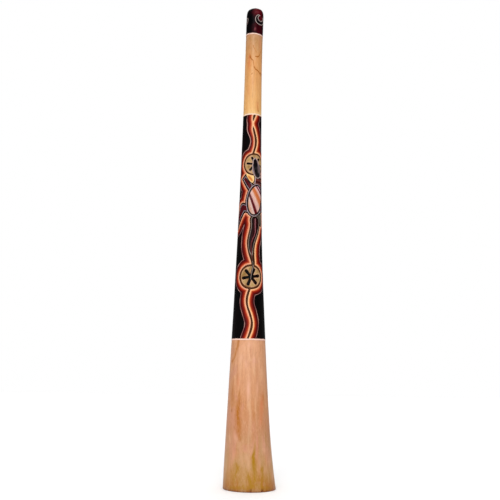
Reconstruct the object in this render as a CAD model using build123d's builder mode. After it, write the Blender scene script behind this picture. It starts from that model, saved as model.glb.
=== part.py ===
from build123d import *
import os

os.makedirs("parts", exist_ok=True)

# A painted didgeridoo. The trunk is a bowed and flared log that was split lengthwise, hollowed
# and glued together again, so it is two half shells with a line of glue down each side. A ring of
# beeswax makes the mouthpiece. Two coats of black paint and three cream lines go round the trunk.
#
# Millimetres, +Z up. The origin is the centre of the bell's rim, on which the instrument stands,
# and the mouth is at the top. The log bows towards -X, in the plane of its seams, and -Y is its
# front.

# Sections of the trunk from the rim up: height, outer radius, bore radius, and how far the bow
# puts the centre along X.
SECTIONS = (
    (0, 69.0, 60.0, 0.0),
    (70, 63.2, 54.5, -3.4),
    (170, 56.4, 47.5, -6.0),
    (380, 44.7, 35.0, -7.2),
    (600, 34.4, 25.0, -7.4),
    (840, 27.5, 18.5, -6.0),
    (1080, 24.0, 16.0, -3.4),
    (1190, 23.4, 15.8, -2.0),
    (1292, 23.2, 15.8, 0.0),
)
TRUNK_TOP = SECTIONS[-1][0]
MOUTH_RADIUS = SECTIONS[-1][1]
RIM_ROUNDING = 2.0

GLUE_THICKNESS = 0.3

WAX_BORE = 15.0
WAX_SEAT_RADIUS = 16.8
WAX_SEAT_DEPTH = 30.0
LIP_HEIGHT = 8.0
LIP_OUTER_ROUNDING = 5.0
LIP_INNER_ROUNDING = 2.5

COAT_THICKNESS = 0.4
BAND_BOTTOM = 385.0
BAND_TOP = 992.0
MOUTH_COAT_BOTTOM = 1225.0
MOUTH_COAT_TILT = 4.0

LINE_THICKNESS = 0.3
LINE_WIDTH = 4.0


# ---------------------------------------------------------------- trunk and its glue

def log_skin(growth=0.0):
    """The solid inside the log's outer skin, grown outwards by a layer on it."""
    with BuildPart() as skin:
        for height, outer_radius, _, bow in SECTIONS:
            with BuildSketch(Plane(origin=(bow, 0, height))):
                Circle(outer_radius + growth)
        loft()
    return skin.part


def log_bore():
    """The air inside the log, with the wider seat for the wax at its top."""
    with BuildPart() as bore:
        for height, _, bore_radius, bow in SECTIONS:
            with BuildSketch(Plane(origin=(bow, 0, height))):
                Circle(bore_radius)
        loft()
        with BuildSketch(Plane.XY.offset(TRUNK_TOP)):
            Circle(WAX_SEAT_RADIUS)
        extrude(amount=-WAX_SEAT_DEPTH)
    return bore.part


with BuildPart() as hollow_log:
    add(log_skin())
    add(log_bore(), mode=Mode.SUBTRACT)
    fillet(hollow_log.edges().group_by(Axis.Z)[0], RIM_ROUNDING)

front_seam = Plane.XZ.offset(GLUE_THICKNESS / 2)
back_seam = Plane.XZ.offset(-GLUE_THICKNESS / 2)

with BuildPart() as trunk_front:
    add(hollow_log.part)
    split(bisect_by=front_seam, keep=Keep.TOP)

with BuildPart() as trunk_back:
    add(hollow_log.part)
    split(bisect_by=back_seam, keep=Keep.BOTTOM)

with BuildPart() as glue_seam:
    add(hollow_log.part)
    split(bisect_by=front_seam, keep=Keep.BOTTOM)
    split(bisect_by=back_seam, keep=Keep.TOP)


# ---------------------------------------------------------------- wax mouthpiece

# A sleeve that lines the top of the bore, under a rounded lip that caps the end of the wood.
LIP_RADIUS = MOUTH_RADIUS + COAT_THICKNESS
LIP_TOP = TRUNK_TOP + LIP_HEIGHT

with BuildPart() as wax_mouthpiece:
    with BuildSketch(Plane.XZ):
        with BuildLine():
            Polyline(
                (WAX_BORE, TRUNK_TOP - WAX_SEAT_DEPTH),
                (WAX_SEAT_RADIUS, TRUNK_TOP - WAX_SEAT_DEPTH),
                (WAX_SEAT_RADIUS, TRUNK_TOP),
                (LIP_RADIUS, TRUNK_TOP),
                (LIP_RADIUS, LIP_TOP),
                (WAX_BORE, LIP_TOP),
                close=True,
            )
        make_face()
    revolve(axis=Axis.Z)
    outer_edge = wax_mouthpiece.edges().group_by(Axis.Z)[-1].sort_by(SortBy.RADIUS)[-1]
    fillet(outer_edge, LIP_OUTER_ROUNDING)
    inner_edge = wax_mouthpiece.edges().group_by(Axis.Z)[-1].sort_by(SortBy.RADIUS)[0]
    fillet(inner_edge, LIP_INNER_ROUNDING)


# ---------------------------------------------------------------- paint

def layer(thickness, bottom, top=None):
    """A closed sleeve of paint on the log's skin, from one cutting plane up to another or to the mouth."""
    with BuildPart() as sleeve:
        add(log_skin(thickness))
        add(log_skin(), mode=Mode.SUBTRACT)
        split(bisect_by=bottom, keep=Keep.TOP)
        if top:
            split(bisect_by=top, keep=Keep.BOTTOM)
    return sleeve.part


def level(height):
    """A level cutting plane."""
    return Plane.XY.offset(height)


def dipped(height):
    """A cutting plane that dips towards +X, as the edge of the mouth's coat does."""
    return Plane(origin=(0, 0, height)).rotated((0, MOUTH_COAT_TILT, 0))


coats = {
    "mouth_coat": layer(COAT_THICKNESS, dipped(MOUTH_COAT_BOTTOM)),
    "band_coat": layer(COAT_THICKNESS, level(BAND_BOTTOM), level(BAND_TOP)),
    "mouth_line": layer(
        LINE_THICKNESS, dipped(MOUTH_COAT_BOTTOM - LINE_WIDTH), dipped(MOUTH_COAT_BOTTOM)
    ),
    "band_upper_line": layer(LINE_THICKNESS, level(BAND_TOP), level(BAND_TOP + LINE_WIDTH)),
    "band_lower_line": layer(LINE_THICKNESS, level(BAND_BOTTOM - LINE_WIDTH), level(BAND_BOTTOM)),
}

pieces = {
    "trunk_front": trunk_front.part,
    "trunk_back": trunk_back.part,
    "glue_seam": glue_seam.part,
    "wax_mouthpiece": wax_mouthpiece.part,
    **coats,
}
for name, piece in pieces.items():
    piece.label = name
    export_step(piece, f"parts/{name}.step")
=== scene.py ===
import math

import bmesh
import bpy
import numpy as np
from mathutils import Matrix, Vector
from mathutils.bvhtree import BVHTree


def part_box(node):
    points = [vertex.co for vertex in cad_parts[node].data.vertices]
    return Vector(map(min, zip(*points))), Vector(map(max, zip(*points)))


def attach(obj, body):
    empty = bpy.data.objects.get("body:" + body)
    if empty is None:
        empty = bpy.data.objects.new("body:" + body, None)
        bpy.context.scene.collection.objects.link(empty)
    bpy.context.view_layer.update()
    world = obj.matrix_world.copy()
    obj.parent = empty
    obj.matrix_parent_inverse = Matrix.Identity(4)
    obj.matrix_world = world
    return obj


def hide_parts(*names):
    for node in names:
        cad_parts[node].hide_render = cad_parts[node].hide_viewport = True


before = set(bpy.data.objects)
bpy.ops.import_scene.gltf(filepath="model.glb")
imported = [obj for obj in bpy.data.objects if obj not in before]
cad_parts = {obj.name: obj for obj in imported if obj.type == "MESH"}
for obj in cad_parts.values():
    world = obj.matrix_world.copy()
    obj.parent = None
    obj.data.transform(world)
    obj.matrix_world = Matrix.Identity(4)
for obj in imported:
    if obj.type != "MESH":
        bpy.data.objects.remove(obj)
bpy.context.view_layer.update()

# The looks of a painted didgeridoo: two bare wooden halves with their glue lines, a beeswax
# mouthpiece, two coats of black lacquer with cream lines, and a painting in thin raised films.
#
# Objects are in metres. The painting is laid out in millimetres on the unrolled skin: u runs round
# the trunk from the middle of its front (-Y) towards +X, and z is the height above the bell's rim.

MM = 0.001


# ---------------------------------------------------------------- camera, floor and light

CAMERA_PLACE = (-0.0061, -2.2, 0.3228)
CAMERA_PITCH = math.radians(7.786)
CAMERA_ROLL = math.radians(0.733)
CAMERA_LENS = 59.41
SENSOR = 36.0

ROOM_LIGHT = 0.15
# Broad soft lights: name, azimuth, elevation, strength and how many degrees wide each is.
LIGHTS = (
    ("key_light", -2, 30, 1.66, 40), ("fill_light", -52, 24, 0.22, 60),
    ("back_light", 180, 45, 0.68, 60), ("top_light", 0, 88, 1.70, 40),
)


def make_camera():
    forward = Vector((0, math.cos(CAMERA_PITCH), math.sin(CAMERA_PITCH)))
    right = Vector((1, 0, 0))
    up = right.cross(forward)
    across = math.cos(CAMERA_ROLL) * right + math.sin(CAMERA_ROLL) * up
    upright = math.cos(CAMERA_ROLL) * up - math.sin(CAMERA_ROLL) * right
    lens = bpy.data.cameras.new("camera")
    lens.lens = CAMERA_LENS
    lens.sensor_width = SENSOR
    camera = bpy.data.objects.new("camera", lens)
    turned = Matrix((across, upright, -forward)).transposed().to_4x4()
    camera.matrix_world = Matrix.Translation(CAMERA_PLACE) @ turned
    bpy.context.scene.collection.objects.link(camera)
    bpy.context.scene.camera = camera


def make_sun(name, azimuth, elevation, strength, softness):
    """A soft light from a direction: azimuth 0 is from the front, 90 from +X."""
    lamp = bpy.data.lights.new(name, "SUN")
    lamp.energy = strength
    lamp.angle = math.radians(softness)
    a, e = math.radians(azimuth), math.radians(elevation)
    towards = Vector((math.sin(a) * math.cos(e), -math.cos(a) * math.cos(e), math.sin(e)))
    sun = bpy.data.objects.new(name, lamp)
    sun.rotation_mode = "QUATERNION"
    sun.rotation_quaternion = towards.to_track_quat("Z", "Y")
    bpy.context.scene.collection.objects.link(sun)


def make_room(brightness):
    """A white room: bright where the camera sees it, softer as a light."""
    world = bpy.data.worlds.new("room")
    bpy.context.scene.world = world
    world.use_nodes = True
    nodes, links = world.node_tree.nodes, world.node_tree.links
    nodes.clear()
    output = nodes.new("ShaderNodeOutputWorld")
    rays = nodes.new("ShaderNodeLightPath")
    blend = nodes.new("ShaderNodeMixShader")
    seen, light = nodes.new("ShaderNodeBackground"), nodes.new("ShaderNodeBackground")
    seen.inputs["Color"].default_value = (1, 1, 1, 1)
    light.inputs["Color"].default_value = (1, 1, 1, 1)
    light.inputs["Strength"].default_value = brightness
    links.new(rays.outputs["Is Camera Ray"], blend.inputs[0])
    links.new(light.outputs[0], blend.inputs[1])
    links.new(seen.outputs[0], blend.inputs[2])
    links.new(blend.outputs[0], output.inputs["Surface"])


make_camera()
make_room(ROOM_LIGHT)
for light in LIGHTS:
    make_sun(*light)
bpy.context.scene.view_settings.view_transform = "Standard"


# ---------------------------------------------------------------- the log's own shape

# The trunk's profile is read from the CAD halves along level lines just in front of the seam.
SEAM_MISS = -1.0 * MM
FAR = 0.2
ABOVE_RIM, BELOW_TOP = 6.0, 6.0
WALL_STEP = 0.02
PROFILE_DEGREE = 9
RIM_ROUNDING = 2.0
CROWN_HEIGHT, CROWN_WIDTH = 19.0, 6.5

trunk_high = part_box("trunk_front")[1]
wax_low, wax_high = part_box("wax_mouthpiece")
TRUNK_TOP = trunk_high.z / MM
MOUTH_TOP = wax_high.z / MM
SEAT_BOTTOM = wax_low.z / MM
SEAM_GAP = -trunk_high.y / MM


def surface_of(node):
    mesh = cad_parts[node].data
    points = np.zeros(len(mesh.vertices) * 3)
    mesh.vertices.foreach_get("co", points)
    faces = [tuple(face.vertices) for face in mesh.polygons]
    return BVHTree.FromPolygons([Vector(p) for p in points.reshape(-1, 3)], faces)


def read_profile():
    """Smooth curves through the trunk's centre, outer radius and bore radius, by height."""
    surface = surface_of("trunk_front")
    heights = np.arange(ABOVE_RIM * MM, SEAT_BOTTOM * MM, WALL_STEP)
    rows = []
    for height in list(heights) + [(TRUNK_TOP - BELOW_TOP) * MM]:
        outer, inner = [], []
        for side in (1, -1):
            step = Vector((-side, 0, 0))
            hit = surface.ray_cast(Vector((side * FAR, SEAM_MISS, height)), step)[0]
            bore = surface.ray_cast(hit + step * 0.5 * MM, step)[0]
            outer.append(hit.x)
            inner.append(bore.x)
        centre = sum(outer) / 2
        rows.append((
            height / MM,
            centre / MM,
            math.hypot(outer[0] - centre, SEAM_MISS) / MM,
            math.hypot(inner[0] - centre, SEAM_MISS) / MM,
        ))
    height, centre, outer, bore = np.array(rows).T
    fit = np.polynomial.Polynomial.fit
    seat_radius = bore[-1]
    return (
        fit(height, centre, PROFILE_DEGREE),
        fit(height, outer, PROFILE_DEGREE),
        fit(height[:-1], bore[:-1], PROFILE_DEGREE),
        seat_radius,
    )


log_centre, skin_radius, bore_radius, SEAT_RADIUS = read_profile()


def hand_work(angle, height):
    """How far the hand-shaped skin stands off the smooth log, in millimetres."""
    return (
        0.20 * np.sin(2 * angle + height / 150 + 0.6)
        + 0.14 * np.sin(3 * angle - height / 87)
        + 0.08 * np.sin(5 * angle + height / 43 + 2.0)
    )


def place(angle, height, radius):
    """Points at a radius from the bowed centre line. The angle is 0 at the front and grows towards +X."""
    angle, height, radius = np.broadcast_arrays(angle, height, radius)
    x = log_centre(height) + radius * np.sin(angle)
    return np.stack([x, -radius * np.cos(angle), height], -1) * MM


def crown(height):
    """How far the mouth's end is drawn in, in a dome that starts below the lip."""
    share = np.clip((height - MOUTH_TOP + CROWN_HEIGHT) / CROWN_HEIGHT, 0, 1)
    return CROWN_WIDTH * (1 - np.sqrt(1 - share**2))


def skin(angle, height):
    """The radius of the hand-shaped skin."""
    return skin_radius(height) + hand_work(angle, height) - crown(height)


def on_skin(angle, height, lift=0.0):
    """Points lifted off the skin by some millimetres."""
    return place(angle, height, skin(angle, height) + lift)


# ---------------------------------------------------------------- mesh helpers

SHARP = math.radians(38)


def quads(grid):
    """The faces between neighbours of a grid of point numbers."""
    return np.stack([grid[:-1, :-1], grid[1:, :-1], grid[1:, 1:], grid[:-1, 1:]], -1).reshape(-1, 4)


def make_piece(name, points, faces, slot_name, *replaced, values=None, finish=(), choice=None):
    """A closed mesh that rides on the instrument. values are numbers kept at its points for its finish."""
    mesh = bpy.data.meshes.new(name)
    mesh.from_pydata(points.reshape(-1, 3).tolist(), [], [list(map(int, face)) for face in faces])
    for material in finish:
        mesh.materials.append(material)
    if choice is not None:
        mesh.polygons.foreach_set("material_index", np.asarray(choice, np.int32))
    mesh.polygons.foreach_set("use_smooth", np.ones(len(mesh.polygons), bool))
    shape = bmesh.new()
    shape.from_mesh(mesh)
    bmesh.ops.recalc_face_normals(shape, faces=shape.faces)
    shape.to_mesh(mesh)
    shape.free()
    mesh.set_sharp_from_angle(angle=SHARP)
    for key, numbers in (values or {}).items():
        attribute = mesh.attributes.new(key, "FLOAT", "POINT")
        attribute.data.foreach_set("value", np.asarray(numbers, np.float32).ravel())
    piece = bpy.data.objects.new(name, mesh)
    bpy.context.scene.collection.objects.link(piece)
    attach(piece, "root")
    if replaced:
        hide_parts(*replaced)


def numbered(columns, rows, start=0):
    """A grid of point numbers."""
    return start + np.arange(columns * rows).reshape(columns, rows)


def closed(grid):
    """The grid with its first column again at its end."""
    return np.vstack([grid, grid[:1]])


def between(first, second):
    """The faces between two rows of point numbers."""
    return quads(np.stack([first, second]))


def arc(centre, radius, start, end, steps):
    """Points of an arc in (radius, height), from one angle to another in degrees."""
    angles = np.radians(np.linspace(start, end, steps))
    return [(centre[0] + radius * math.cos(a), centre[1] + radius * math.sin(a)) for a in angles]


def eased(value, low, high):
    """0 below low, 1 above high and a smooth step between."""
    share = np.clip((value - low) / (high - low), 0, 1)
    return share * share * (3 - 2 * share)


# ---------------------------------------------------------------- distances on the unrolled skin

def least(*numbers):
    """The least number at each point, such as the distance outside several shapes together."""
    return np.minimum.reduce(numbers)


def disc(u, z, middle, radius):
    return np.hypot(u - middle[0], z - middle[1]) - radius


def oval(u, z, middle, half, lean):
    """Nearly the distance outside an ellipse whose top leans to the right."""
    c, s = math.cos(lean), math.sin(lean)
    x = ((u - middle[0]) * c - (z - middle[1]) * s) / half[0]
    y = ((u - middle[0]) * s + (z - middle[1]) * c) / half[1]
    reach = np.hypot(x, y)
    return reach * (reach - 1) / np.maximum(np.hypot(x / half[0], y / half[1]), 1e-9)


def slab(u, z, corners):
    """The distance outside a shape with straight sides and no hollows, its corners listed clockwise."""
    ends = corners + corners[:1]
    over = np.full(u.shape, -1e9)
    for (u0, z0), (u1, z1) in zip(ends, ends[1:]):
        over = np.maximum(over, ((z - z0) * (u1 - u0) - (u - u0) * (z1 - z0)))
    reach = stroke(u, z, [(at_u, at_z, 0) for at_u, at_z in ends])
    return np.where(over < 0, -reach, reach)


def stroke(u, z, points):
    """The distance outside a brush stroke through points of (u, z, half width)."""
    best = np.full(u.shape, 1e9)
    for (u0, z0, r0), (u1, z1, r1) in zip(points, points[1:]):
        du, dz = u1 - u0, z1 - z0
        share = np.clip(((u - u0) * du + (z - z0) * dz) / (du * du + dz * dz), 0, 1)
        best = np.minimum(best, np.hypot(u - u0 - share * du, z - z0 - share * dz) - r0 - share * (r1 - r0))
    return best


# ---------------------------------------------------------------- finishes

def linear(red, green, blue):
    """A colour given in the usual 0 to 255 scale, as light."""
    def one(level):
        level /= 255
        return level / 12.92 if level <= 0.04045 else ((level + 0.055) / 1.055) ** 2.4
    return (one(red), one(green), one(blue), 1.0)


class Finish:
    """A material made of nodes, with short names for the nodes that the finishes use."""

    def __init__(self, name, roughness=0.5, gloss=0.5, coat=0.0, coat_roughness=0.1):
        self.material = bpy.data.materials.new(name)
        self.material.use_nodes = True
        self.tree = self.material.node_tree
        self.surface = self.tree.nodes["Principled BSDF"]
        self.surface.inputs["Roughness"].default_value = roughness
        self.surface.inputs["Specular IOR Level"].default_value = gloss
        self.surface.inputs["Coat Weight"].default_value = coat
        self.surface.inputs["Coat Roughness"].default_value = coat_roughness
        self.where = self.node("ShaderNodeTexCoord").outputs["Object"]

    def node(self, kind, inputs=None, **settings):
        node = self.tree.nodes.new(kind)
        for key, value in settings.items():
            setattr(node, key, value)
        for key, value in (inputs or {}).items():
            if isinstance(value, bpy.types.NodeSocket):
                self.tree.links.new(value, node.inputs[key])
            else:
                node.inputs[key].default_value = value
        return node

    def math(self, operation, first, second, clamp=False):
        node = self.node("ShaderNodeMath", {0: first, 1: second}, operation=operation, use_clamp=clamp)
        return node.outputs[0]

    def times(self, first, second, clamp=False):
        return self.math("MULTIPLY", first, second, clamp)

    def plus(self, first, second):
        return self.math("ADD", first, second)

    def swing(self, noise, size):
        """Noise about zero, in place of noise about a half."""
        return self.times(self.math("SUBTRACT", noise, 0.5), size)

    def value(self, key):
        """A number kept at the mesh's points."""
        return self.node("ShaderNodeAttribute", attribute_name=key, attribute_type="GEOMETRY").outputs["Fac"]

    def noise(self, around, along, detail=3.0, rough=0.55, warp=0.0):
        """Noise with so many features in a metre round the trunk and along it."""
        stretched = self.node("ShaderNodeMapping", {"Vector": self.where, "Scale": (around, around, along)})
        return self.node("ShaderNodeTexNoise", {
            "Vector": stretched.outputs[0], "Scale": 1.0, "Detail": detail, "Roughness": rough,
            "Distortion": warp,
        }).outputs["Fac"]

    def step(self, value, low, high):
        """0 below low, 1 above high."""
        return self.node("ShaderNodeMapRange", {
            "Value": value, "From Min": low, "From Max": high,
        }, interpolation_type="SMOOTHSTEP").outputs[0]

    def ramp(self, value, stops):
        """Colours along a number, as (number, colour) pairs from low to high."""
        low, high = stops[0][0], stops[-1][0]
        share = self.node("ShaderNodeMapRange", {"Value": value, "From Min": low, "From Max": high})
        node = self.node("ShaderNodeValToRGB", {"Fac": share.outputs[0]})
        elements = node.color_ramp.elements
        while len(elements) < len(stops):
            elements.new(1.0)
        for element, (number, colour) in zip(elements, stops):
            element.position = (number - low) / (high - low)
            element.color = linear(*colour)
        return node.outputs["Color"]

    def mix(self, share, first, second):
        """From the first colour to the second."""
        node = self.node("ShaderNodeMix", {0: share}, data_type="RGBA")
        for key, colour in ((6, first), (7, second)):
            if isinstance(colour, bpy.types.NodeSocket):
                self.tree.links.new(colour, node.inputs[key])
            else:
                node.inputs[key].default_value = linear(*colour)
        return node.outputs[2]

    def tint(self, base, share, strength, colour):
        """A base colour, moved towards another by a share times a strength."""
        return self.mix(self.times(share, strength), base, colour)

    def paint(self, colour):
        self.tree.links.new(colour, self.surface.inputs["Base Color"])

    def dull(self, noise, low, high):
        """Roughness that follows noise from low to high."""
        rough = self.node("ShaderNodeMapRange", {"Value": noise, "To Min": low, "To Max": high})
        self.tree.links.new(rough.outputs[0], self.surface.inputs["Roughness"])

    def emboss(self, height, strength, depth):
        """Fine relief, its depth in metres."""
        bump = self.node("ShaderNodeBump", {"Height": height, "Strength": strength, "Distance": depth})
        self.tree.links.new(bump.outputs[0], self.surface.inputs["Normal"])


def bare_wood():
    """Oiled pale eucalypt with grain along the log, paler and pinker patches, pores, stains and painted
    shade on the bell.
    """
    f = Finish("bare_wood", roughness=0.45, gloss=0.2, coat=0.1, coat_roughness=0.3)
    height = f.node("ShaderNodeSeparateXYZ", {0: f.where}).outputs["Z"]
    tone = f.ramp(height, (
        (0.000, (156, 90, 20)), (0.012, (168, 106, 38)), (0.035, (182, 130, 66)),
        (0.065, (189, 140, 84)), (0.100, (194, 142, 98)), (0.150, (197, 137, 97)),
        (0.210, (204, 142, 97)), (0.270, (213, 153, 112)), (0.330, (223, 165, 126)),
        (0.375, (224, 164, 124)), (0.990, (244, 202, 136)), (1.010, (240, 184, 114)),
        (1.045, (236, 177, 110)), (1.090, (233, 171, 106)), (1.140, (228, 162, 98)),
        (1.175, (212, 153, 96)), (1.225, (196, 146, 104)),
    ))
    low = f.step(height, 0.18, 0.07)
    bell = f.step(height, 0.9, 0.6)
    light = f.mix(0.28, tone, (255, 228, 190))
    streaks = f.noise(95, 6, detail=4, rough=0.5, warp=0.2)
    patches = f.noise(120, 22, detail=2, rough=0.5, warp=0.5)
    clouds = f.noise(34, 13, detail=3, rough=0.5, warp=0.8)
    mottles = f.noise(420, 130, detail=3, rough=0.6, warp=0.5)
    grain = f.noise(760, 26, detail=2, rough=0.5)
    pores = f.noise(1100, 60, detail=1, rough=0.4)
    dark_share = f.plus(0.16, f.times(bell, 0.28))
    wood = tone
    for noise, low_end, high_end, strength, colour in (
        (streaks, 0.47, 0.72, dark_share, (186, 118, 68)), (streaks, 0.46, 0.30, 0.50, light),
        (patches, 0.56, 0.72, 0.40, light), (patches, 0.46, 0.32, 0.18, (170, 108, 62)),
    ):
        wood = f.tint(wood, f.step(noise, low_end, high_end), strength, colour)
    above_rim = f.times(f.step(height, 0.02, 0.10), bell)
    pink = f.times(f.times(f.step(clouds, 0.50, 0.66), above_rim), 0.55)
    wood = f.mix(pink, wood, (206, 144, 118))
    wood = f.tint(wood, f.times(f.step(clouds, 0.56, 0.38), low), 0.65, (190, 148, 104))
    for noise, low_end, high_end, strength, colour in (
        (mottles, 0.50, 0.72, 0.20, (150, 94, 58)), (mottles, 0.48, 0.30, 0.16, (236, 190, 152)),
        (grain, 0.52, 0.76, 0.14, (140, 88, 50)), (pores, 0.66, 0.78, 0.25, (110, 64, 34)),
    ):
        wood = f.tint(wood, f.step(noise, low_end, high_end), strength, colour)
    ragged = f.math("SUBTRACT", f.times(f.plus(patches, mottles), 1.5), 0.55)
    # The brown and dark values also carry painted shade: the bell's right edge and the foot of its rim.
    for key, stain_and_shade in (
        ("pale", (230, 174, 146)), ("brown", (176, 104, 22)), ("olive", (166, 118, 10)),
        ("red", (212, 114, 70)), ("dark", (84, 22, 4)),
    ):
        wood = f.mix(f.times(f.value(key), ragged, clamp=True), wood, stain_and_shade)
    f.paint(wood)
    f.dull(grain, 0.34, 0.52)
    f.emboss(f.plus(grain, f.times(streaks, 2.0)), 0.25, 0.0006)
    return f.material


def bore_wood():
    """The raw gouged wood inside, darker between the chips."""
    f = Finish("bore_wood", roughness=0.85, gloss=0.2)
    grain = f.noise(260, 16, detail=4, rough=0.6)
    chips = f.noise(70, 28, detail=2, rough=0.5, warp=1.0)
    wood = f.ramp(grain, ((0.3, (104, 66, 38)), (0.5, (142, 96, 60)), (0.72, (170, 122, 82))))
    f.paint(f.tint(wood, f.step(chips, 0.42, 0.62), 0.5, (92, 58, 34)))
    f.emboss(f.plus(grain, chips), 0.6, 0.002)
    return f.material


def end_grain():
    """The sawn rim, with the rings of the log and fine pores."""
    f = Finish("end_grain", roughness=0.6, gloss=0.3)
    rings = f.node("ShaderNodeTexWave", {
        "Vector": f.where, "Scale": 95.0, "Distortion": 3.0, "Detail": 3.0, "Detail Scale": 0.8,
    }, wave_type="RINGS", rings_direction="Z").outputs["Fac"]
    pores = f.noise(1500, 1500, detail=2)
    wood = f.ramp(rings, ((0.0, (116, 72, 36)), (0.55, (158, 108, 62)), (1.0, (182, 132, 84))))
    f.paint(f.tint(wood, f.step(pores, 0.56, 0.68), 0.6, (80, 46, 22)))
    f.emboss(pores, 0.4, 0.0005)
    return f.material


def glue():
    f = Finish("wood_glue", roughness=0.45, gloss=0.4)
    spots = f.noise(300, 90, detail=3)
    f.paint(f.ramp(spots, ((0.3, (96, 58, 26)), (0.55, (132, 84, 42)), (0.75, (168, 118, 68)))))
    f.emboss(spots, 0.3, 0.0003)
    return f.material


def beeswax():
    """Dark brown wax, thumbed smooth, inside the mouth."""
    f = Finish("beeswax", roughness=0.42, gloss=0.45, coat=0.2, coat_roughness=0.3)
    f.surface.inputs["Subsurface Weight"].default_value = 0.15
    f.surface.inputs["Subsurface Radius"].default_value = (0.003, 0.0015, 0.0008)
    clouds = f.noise(120, 120, detail=4, rough=0.6, warp=0.5)
    f.paint(f.ramp(clouds, ((0.3, (52, 26, 10)), (0.5, (84, 46, 18)), (0.72, (118, 70, 30)))))
    f.emboss(clouds, 0.5, 0.001)
    return f.material


def black_lacquer():
    """Brushed black with a thin red-brown cast here and there."""
    f = Finish("black_lacquer", roughness=0.45, gloss=0.05, coat=0.02, coat_roughness=0.3)
    brushed = f.noise(230, 22, detail=4, rough=0.6)
    clouds = f.noise(24, 9, detail=2, rough=0.5)
    black = f.ramp(brushed, ((0.3, (2, 1, 1)), (0.55, (4, 2, 2)), (0.8, (14, 7, 7))))
    f.paint(f.tint(black, f.step(clouds, 0.52, 0.75), 0.6, (24, 4, 6)))
    f.dull(brushed, 0.35, 0.55)
    f.emboss(brushed, 0.12, 0.0004)
    return f.material


def mouth_lacquer():
    """Black that is blended by brush into deep red, with paler spots of painted highlight."""
    f = Finish("mouth_lacquer", roughness=0.45, gloss=0.03, coat=0.02, coat_roughness=0.3)
    brushed = f.noise(110, 60, detail=5, rough=0.65, warp=0.8)
    share = f.plus(f.value("red"), f.swing(brushed, 1.1))
    colour = f.ramp(share, (
        (0.0, (2, 1, 2)), (0.25, (14, 2, 5)), (0.5, (36, 2, 8)), (0.75, (62, 2, 11)), (1.0, (84, 4, 16)),
    ))
    # The pale pink spots mixed in here are painted highlights.
    f.paint(f.mix(f.value("painted_highlight"), colour, (170, 90, 98)))
    f.dull(brushed, 0.3, 0.5)
    f.emboss(brushed, 0.15, 0.0004)
    return f.material


def brushed_paint(name, key, stops, fleck=(255, 255, 255), fleck_share=0.0, roughness=0.38, wear=0.30):
    """Hand-brushed paint whose colour follows a number kept at the mesh's points."""
    f = Finish(name, roughness=roughness, gloss=0.08, coat=0.02, coat_roughness=0.25)
    strokes = f.noise(380, 110, detail=4, rough=0.65)
    clouds = f.noise(70, 34, detail=3, rough=0.5)
    number = f.plus(f.value(key), f.swing(strokes, 0.9))
    colour = f.ramp(number, stops)
    worn = f.times(f.step(strokes, 0.50, 0.78), wear)
    colour = f.mix(worn, colour, (60, 22, 12))
    if fleck_share:
        colour = f.tint(colour, f.step(clouds, 0.44, 0.66), fleck_share, fleck)
    f.paint(colour)
    f.dull(strokes, roughness - 0.1, roughness + 0.2)
    f.emboss(strokes, 0.35, 0.0004)
    return f.material


# ---------------------------------------------------------------- stains and painted shade of the bare wood

# Soft marks on the skin: u, z, half width, half height, lean (u gained by a millimetre of z) and
# strength. Those of the front are placed one by one, and the rest of the log gets scattered ones.
BROWN_MARKS_AND_SHADE = (
    (-43, 238, 7.0, 26, 0.0, 0.45), (-46.7, 200, 2.2, 5, 0.0, 0.55), (16, 192, 2.6, 9, 0.0, 0.5),
    # The broad faint mark at u 67 is painted shade that darkens the right edge of the bell.
    (45, 232, 4.5, 14, 0.0, 0.6), (67, 150, 5.0, 60, 0.0, 0.22), (-30, 382, 9.0, 12, 0.0, 0.3),
    (16, 1004, 4.0, 6, 0.1, 0.35), (-14, 1190, 4.0, 14, 0.1, 0.30), (-12.4, 1184, 1.6, 6, 0.3, 0.35),
    (-16, 1214, 3.0, 6, 0.0, 0.35), (-40, 345, 6.0, 40, 0.1, 0.35), (-18, 1100, 5.0, 60, 0.0, 0.25),
)
OLIVE_MARKS = (
    (52, 130, 3.0, 18, 0.0, 0.4), (62, 40, 4.0, 14, 0.0, 0.35), (-62, 60, 4, 40, 0.0, 0.35),
    (36, 55, 5.0, 10, 0.0, 1.0), (-23, 30, 6.0, 10, 0.0, 0.45), (1.9, 1208.5, 2.0, 3.6, 0.0, 0.75),
    (-12.4, 1211, 3.0, 3.2, 0.0, 0.5), (-5, 1206.5, 4.0, 3.4, 0.0, 0.35), (5, 1200, 7.0, 16, 0.0, 0.2),
    (-4, 34, 34, 24, 0.0, 0.30), (-48, 46, 7, 13, 0.0, 0.35), (18, 22, 9, 12, 0.0, 0.45),
)
RED_MARKS = (
    (-13.0, 1157, 3.2, 8, 0.0, 0.80), (-13.5, 1140, 4.5, 18, 0.0, 0.50), (14, 1018, 5, 15, 0.0, 0.45),
    (-12, 1060, 5, 16, 0.0, 0.25), (39, 210, 6.5, 30, 0.05, 0.50), (36, 180, 5, 18, 0.1, 0.40),
    (-34, 96, 9, 14, 0.0, 0.15), (-18, 1010, 4, 20, 0.0, 0.15), (49, 75, 6, 16, 0.0, 0.15),
    (-2, 1086, 5, 12, 0.0, 0.2), (18, 1198, 4, 16, 0.0, 0.35), (-26, 274, 6, 18, 0.0, 0.25),
)
DARK_MARKS = (
    (3.4, 3.5, 4, 4.5, 0.0, 0.95), (34, 3, 4, 4.5, 0.0, 0.95), (-16, 2, 6, 4, 0.0, 0.55),
    (-46.7, 199.5, 1.5, 3, 0.0, 0.4), (3, 386, 30, 1.6, 0.0, 0.35),
)
PALE_MARKS = (
    (15.8, 331, 2.8, 14, 0.0, 0.7), (-5.5, 322, 2.8, 14, 0.0, 0.7), (1.4, 256, 4.6, 24, 0.0, 0.75),
    (25.6, 260, 2.8, 26, 0.05, 0.6), (3, 369, 7.0, 8, 0.0, 0.45), (-16, 336, 7.0, 9, 0.0, 0.4),
    (-15, 363, 6.0, 8, 0.0, 0.3),
)

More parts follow.
